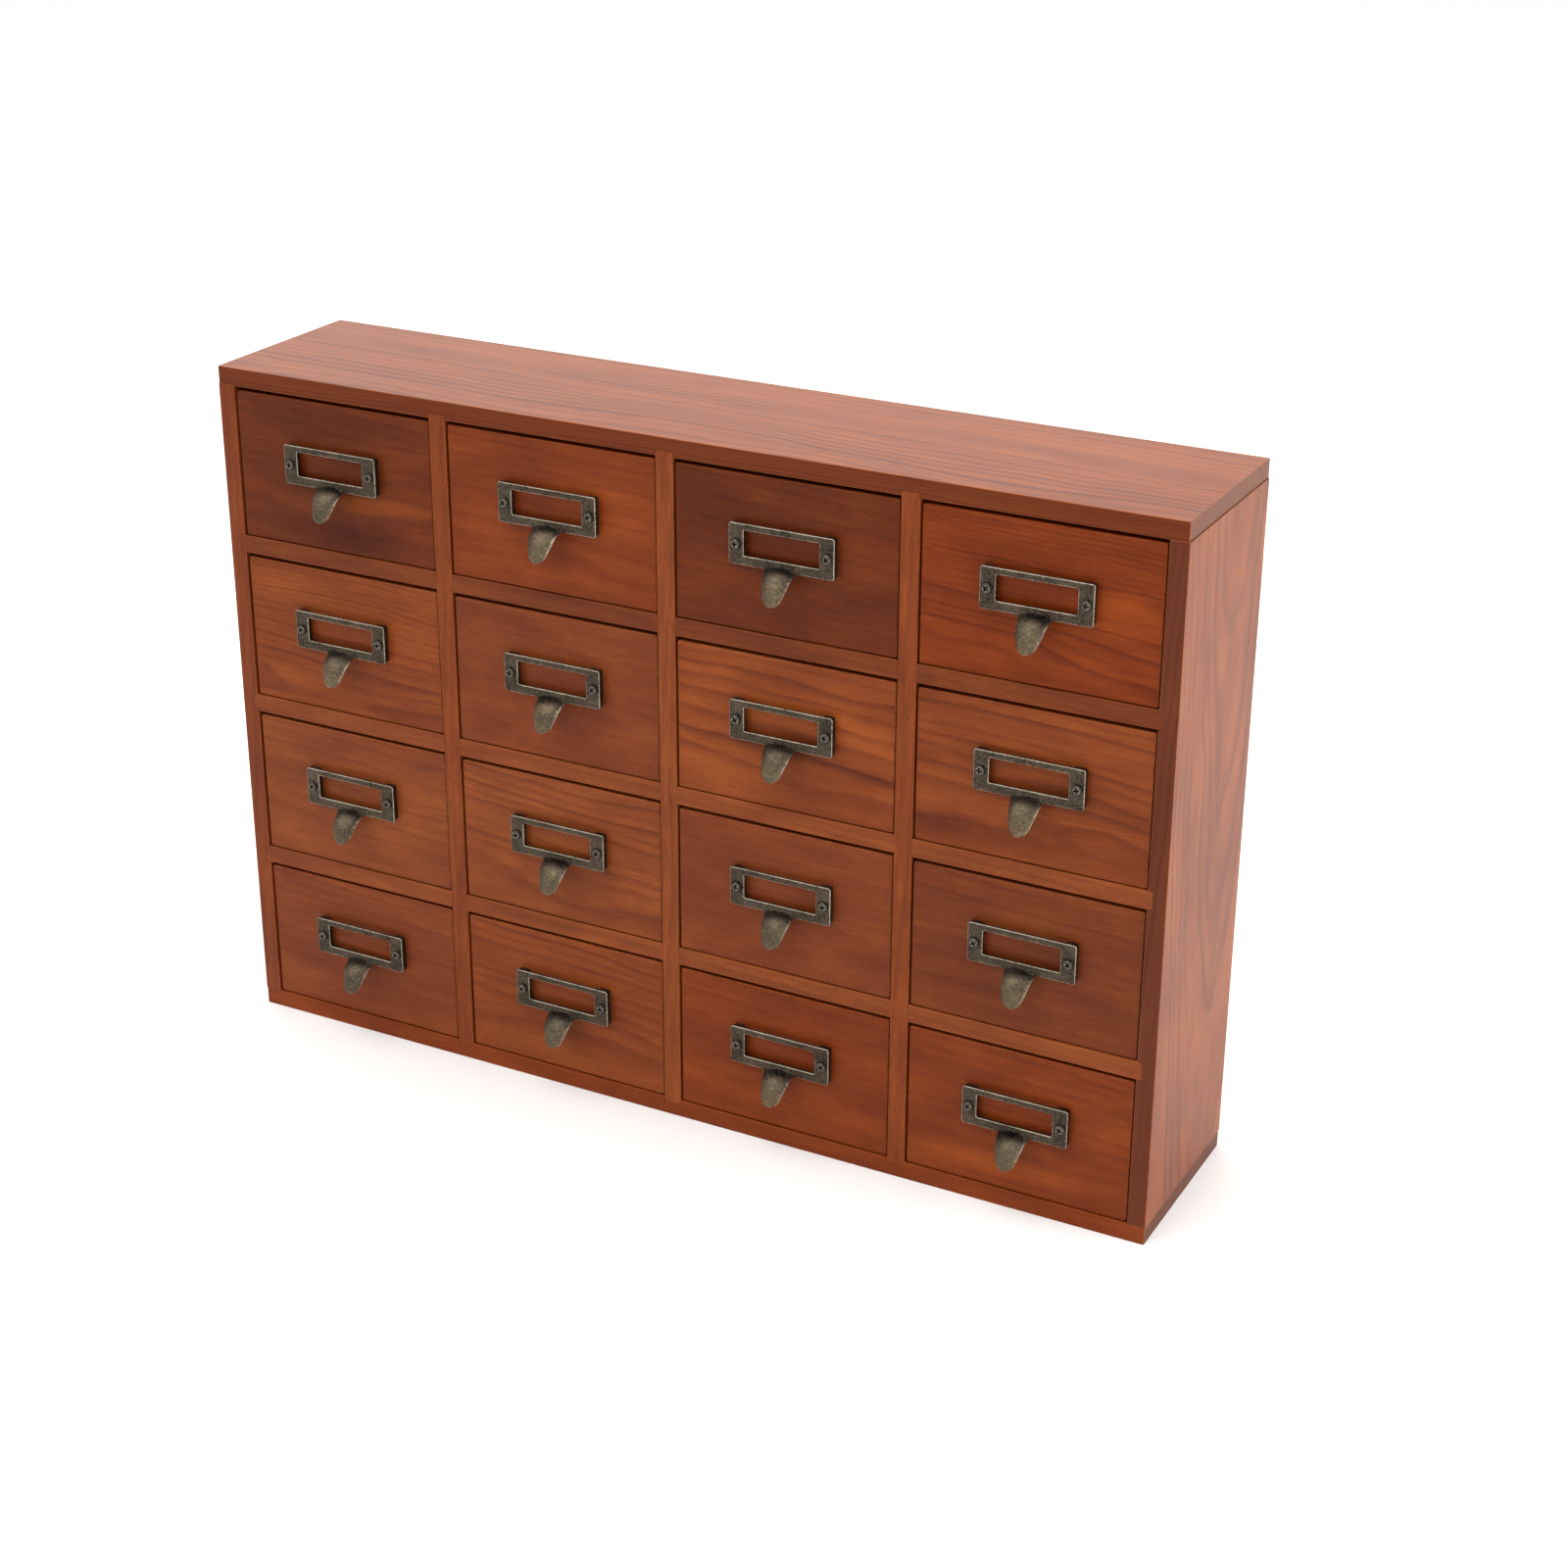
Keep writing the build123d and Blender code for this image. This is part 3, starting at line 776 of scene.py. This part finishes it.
zinc = {
    "patina": "#191512",
    "flat": "#53493e",
    "bronze": "#75664e",
    "bright": "#b3a795",
    "tones": (0.05, 0.4, 0.66, 1.0),    # levels of the four colours above
    "middle": 0.32,           # usual level of the flats
    "mottle": (0.55, 4.0),    # mm across one mottle, and the noise's detail
    "cloud": (6.0, 2.0),      # the larger uneven patches
    "grit": (0.25, 2.0),      # the finest pits, as coarse as they need to be to show
    "noiseRoughness": 0.62,
    "mottleWeight": 0.9,
    "cloudWeight": 0.5,
    "handled": (6, 14),       # mm out from the wood, from untouched to polished by fingers
    "handledWeight": 0.2,
    "rootShade": (0.9, -3.6, -10.0),    # mm from the plate's middle on the wood to the painted shade at the tongue's root
    "rootShadeSize": (8.5, 5.0, 2.6),
    "rootShadeFrom": (1.3, 0.4),   # sizes from its middle, from no shade to full painted shade
    "rootShadeWeight": -0.3,
    "rubbedAndHighlitFrom": (1.05, 1.6),    # wear and noise together, from flat to bright
    "roughness": (0.4, 0.64),
    "relief": 0.5,
    "reliefHeight": 0.2,      # mm
    "gritRelief": 0.5,
}


def antiquedZinc(look):
    material, tree, shader = newMaterial("antiqued zinc alloy")
    place = addNode(tree, "ShaderNodeTexCoord").outputs["Object"]
    luck = addNode(tree, "ShaderNodeObjectInfo").outputs["Random"]
    moved = addNode(tree, "ShaderNodeVectorMath", {0: place, 1: luck}, operation="ADD").outputs[0]
    noises = {}
    for layer in ("mottle", "cloud", "grit"):
        across, detail = look[layer]
        noises[layer] = addNode(tree, "ShaderNodeTexNoise", {
            "Vector": moved, "Scale": 1 / (2 * across * mm), "Detail": detail,
            "Roughness": look["noiseRoughness"]}).outputs[0]
    wear = addNode(tree, "ShaderNodeAttribute", attribute_name="wear").outputs["Fac"]

    # fingers polish the tongue where it stands furthest out; its root is darkened with painted shade
    outward = addNode(tree, "ShaderNodeSeparateXYZ", {0: place}).outputs[1]
    handled = addNode(tree, "ShaderNodeMapRange", {
        "Value": outward, "From Min": -look["handled"][0] * mm, "From Max": -look["handled"][1] * mm},
        interpolation_type="SMOOTHSTEP").outputs[0]
    corner = addNode(tree, "ShaderNodeVectorMath", {
        0: place, 1: [part * mm for part in look["rootShade"]]}, operation="SUBTRACT").outputs[0]
    corner = addNode(tree, "ShaderNodeVectorMath", {
        0: corner, 1: [part * mm for part in look["rootShadeSize"]]}, operation="DIVIDE").outputs[0]
    distance = addNode(tree, "ShaderNodeVectorMath", {
        0: corner}, operation="LENGTH").outputs["Value"]
    rootShade = addNode(tree, "ShaderNodeMapRange", {
        "Value": distance, "From Min": look["rootShadeFrom"][0], "From Max": look["rootShadeFrom"][1]},
        interpolation_type="SMOOTHSTEP").outputs[0]

    # each layer has its weight and its usual level
    uneven = [(noises["mottle"], look["mottleWeight"], 0.5), (noises["cloud"], look["cloudWeight"], 0.5)]
    layers = uneven + [(handled, look["handledWeight"], 0.0), (rootShade, look["rootShadeWeight"], 0.0)]
    tone = look["middle"] - sum(weight * usual for value, weight, usual in layers)
    for value, weight, usual in layers:
        tone = addNode(tree, "ShaderNodeMath", {
            0: value, 1: weight, 2: tone}, operation="MULTIPLY_ADD").outputs[0]
    flats = addNode(tree, "ShaderNodeValToRGB", {0: tone})
    stops = zip(look["tones"], ("patina", "flat", "bronze", "bright"))
    fillRamp(flats, [(level, toLinear(look[finish])) for level, finish in stops])
    rubbedAndHighlit = wear
    for value, weight, usual in uneven:
        rubbedAndHighlit = addNode(tree, "ShaderNodeMath", {
            0: value, 1: weight, 2: rubbedAndHighlit}, operation="MULTIPLY_ADD").outputs[0]
    edge = addNode(tree, "ShaderNodeMapRange", {
        "Value": rubbedAndHighlit, "From Min": look["rubbedAndHighlitFrom"][0], "From Max": look["rubbedAndHighlitFrom"][1]},
        interpolation_type="SMOOTHSTEP").outputs[0]
    colour = addNode(tree, "ShaderNodeMix", {
        "Factor": edge, "A": flats.outputs[0], "B": toLinear(look["bright"])}, data_type="RGBA")
    mixed = [socket for socket in colour.outputs if socket.type == "RGBA"][0]
    tree.links.new(mixed, shader.inputs["Base Color"])
    rough = addNode(tree, "ShaderNodeMapRange", {
        "Value": noises["mottle"], "To Min": look["roughness"][0],
        "To Max": look["roughness"][1]}).outputs[0]
    tree.links.new(rough, shader.inputs["Roughness"])
    shader.inputs["Metallic"].default_value = 1.0
    height = addNode(tree, "ShaderNodeMath", {
        0: noises["grit"], 1: look["gritRelief"], 2: noises["mottle"]},
        operation="MULTIPLY_ADD").outputs[0]
    bump = addNode(tree, "ShaderNodeBump", {
        "Height": height, "Strength": look["relief"], "Distance": look["reliefHeight"] * mm})
    tree.links.new(bump.outputs[0], shader.inputs["Normal"])
    return material


# the pull's screws: pan heads with a punched cross

screw = {
    "radius": 2.5,
    "height": 1.6,
    "edge": 0.45,             # mm of straight side below the dome
    "domePower": 2.6,         # higher gives a flatter crown
    "crossSpan": 1.45,
    "crossWidth": 0.36,
    "crossFlank": (0.08, 0.12),    # mm inside and outside that width over which its sides slope
    "crossEnd": 0.35,         # mm over which each arm's end slopes
    "crossDepth": 0.95,
    "rings": 18,
    "ringPower": 0.85,        # below 1 it sets the rings closer towards the rim
    "spokes": 56,
    "firstTurn": 11,          # degrees; each next drawer's screws turn further by these
    "leftTurn": 37,
    "rightTurn": 61,
}


def screwHead(look):
    # a fine polar grid: a dome with the cross pressed into it
    inside = look["crossWidth"] - look["crossFlank"][0]
    outside = look["crossWidth"] + look["crossFlank"][1]

    def smoothStep(low, high, value):
        t = max(0.0, min(1.0, (value - low) / (high - low)))
        return t * t * (3 - 2 * t)

    def surface(x, z):
        share = math.hypot(x, z) / look["radius"]
        rise = math.sqrt(max(0.0, 1 - share ** look["domePower"]))
        dome = look["edge"] + (look["height"] - look["edge"]) * rise
        armX = smoothStep(outside, inside, abs(z))
        armZ = smoothStep(outside, inside, abs(x))
        reach = smoothStep(look["crossSpan"], look["crossSpan"] - look["crossEnd"], math.hypot(x, z))
        return dome - look["crossDepth"] * max(armX, armZ) * reach

    loops = []
    for ring in range(1, look["rings"] + 1):
        radius = look["radius"] * (ring / look["rings"]) ** look["ringPower"]
        angles = [math.tau * k / look["spokes"] for k in range(look["spokes"])]
        places = [(radius * math.cos(a), radius * math.sin(a)) for a in angles]
        loops.append([Vector((x, -surface(x, z), z)) * mm for x, z in places])
    loops.append([Vector((p.x, 0, p.z)) for p in loops[-1]])
    bm = bmesh.new()
    rings = bridge(bm, loops)
    middle = bm.verts.new(Vector((0, -surface(0, 0), 0)) * mm)
    first = rings[0]
    for i, vert in enumerate(first):
        bm.faces.new((vert, first[(i + 1) % len(first)], middle))
    bm.faces.new(rings[-1])
    return meshOf(bm, "screwHead")


# blackened steel for the screws: dark, with a little bare metal on the crown

blacking = {
    "dark": "#1c1916",
    "worn": "#403b34",
    "bare": "#7d766a",
    "levels": (0.3, 0.6, 1.0),     # levels of the three colours above
    "gritPerMm": 1.4,
    "detail": 4.0,
    "crown": (0.9, 1.6),      # mm above the plate, from as dark as the rim to the barest
    "crownWear": 0.45,
    "roughness": (0.3, 0.55),
}


def blackenedSteel(look):
    material, tree, shader = newMaterial("blackened steel")
    place = addNode(tree, "ShaderNodeTexCoord").outputs["Object"]
    luck = addNode(tree, "ShaderNodeObjectInfo").outputs["Random"]
    moved = addNode(tree, "ShaderNodeVectorMath", {0: place, 1: luck}, operation="ADD").outputs[0]
    grit = addNode(tree, "ShaderNodeTexNoise", {
        "Vector": moved, "Scale": look["gritPerMm"] / mm, "Detail": look["detail"]}).outputs[0]
    depth = addNode(tree, "ShaderNodeSeparateXYZ", {0: place}).outputs[1]
    crown = addNode(tree, "ShaderNodeMapRange", {
        "Value": depth, "From Min": -look["crown"][0] * mm, "From Max": -look["crown"][1] * mm,
        "To Max": look["crownWear"]}).outputs[0]
    tone = addNode(tree, "ShaderNodeMath", {0: grit, 1: crown}, operation="ADD").outputs[0]
    ramp = addNode(tree, "ShaderNodeValToRGB", {0: tone})
    tones = zip(look["levels"], ("dark", "worn", "bare"))
    fillRamp(ramp, [(level, toLinear(look[finish])) for level, finish in tones])
    tree.links.new(ramp.outputs[0], shader.inputs["Base Color"])
    smooth, coarse = look["roughness"]
    rough = addNode(tree, "ShaderNodeMapRange", {
        "Value": grit, "To Min": smooth, "To Max": coarse}).outputs[0]
    tree.links.new(rough, shader.inputs["Roughness"])
    shader.inputs["Metallic"].default_value = 1.0
    return material


castMesh = castPull(pull)
castMesh.materials.append(antiquedZinc(zinc))
headMesh = screwHead(screw)
headMesh.materials.append(blackenedSteel(blacking))

for number, place in enumerate(fronts):
    low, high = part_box(f"drawer_{place}_pull")
    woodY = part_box(f"drawer_{place}_front")[0].y
    centre = Vector(((low.x + high.x) / 2, woodY, high.z - pull["plate"][1] / 2 * mm))
    casting = bpy.data.objects.new(f"pull_{place}", castMesh)
    casting.location = centre
    bpy.context.scene.collection.objects.link(casting)
    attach(casting, f"drawer_{place}")
    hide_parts(f"drawer_{place}_pull")
    for side, label in ((-1, "left"), (1, "right")):
        head = bpy.data.objects.new(f"screw_{place}_{label}", headMesh)
        head.location = centre + Vector((side * pull["screwSpacing"] / 2, -pull["lift"], 0)) * mm
        turn = screw["firstTurn"] + screw[f"{label}Turn"] * number
        head.rotation_euler = (0, math.radians(turn), 0)
        bpy.context.scene.collection.objects.link(head)
        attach(head, f"drawer_{place}")
        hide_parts(f"drawer_{place}_pull")
print("pulls and screws fitted")
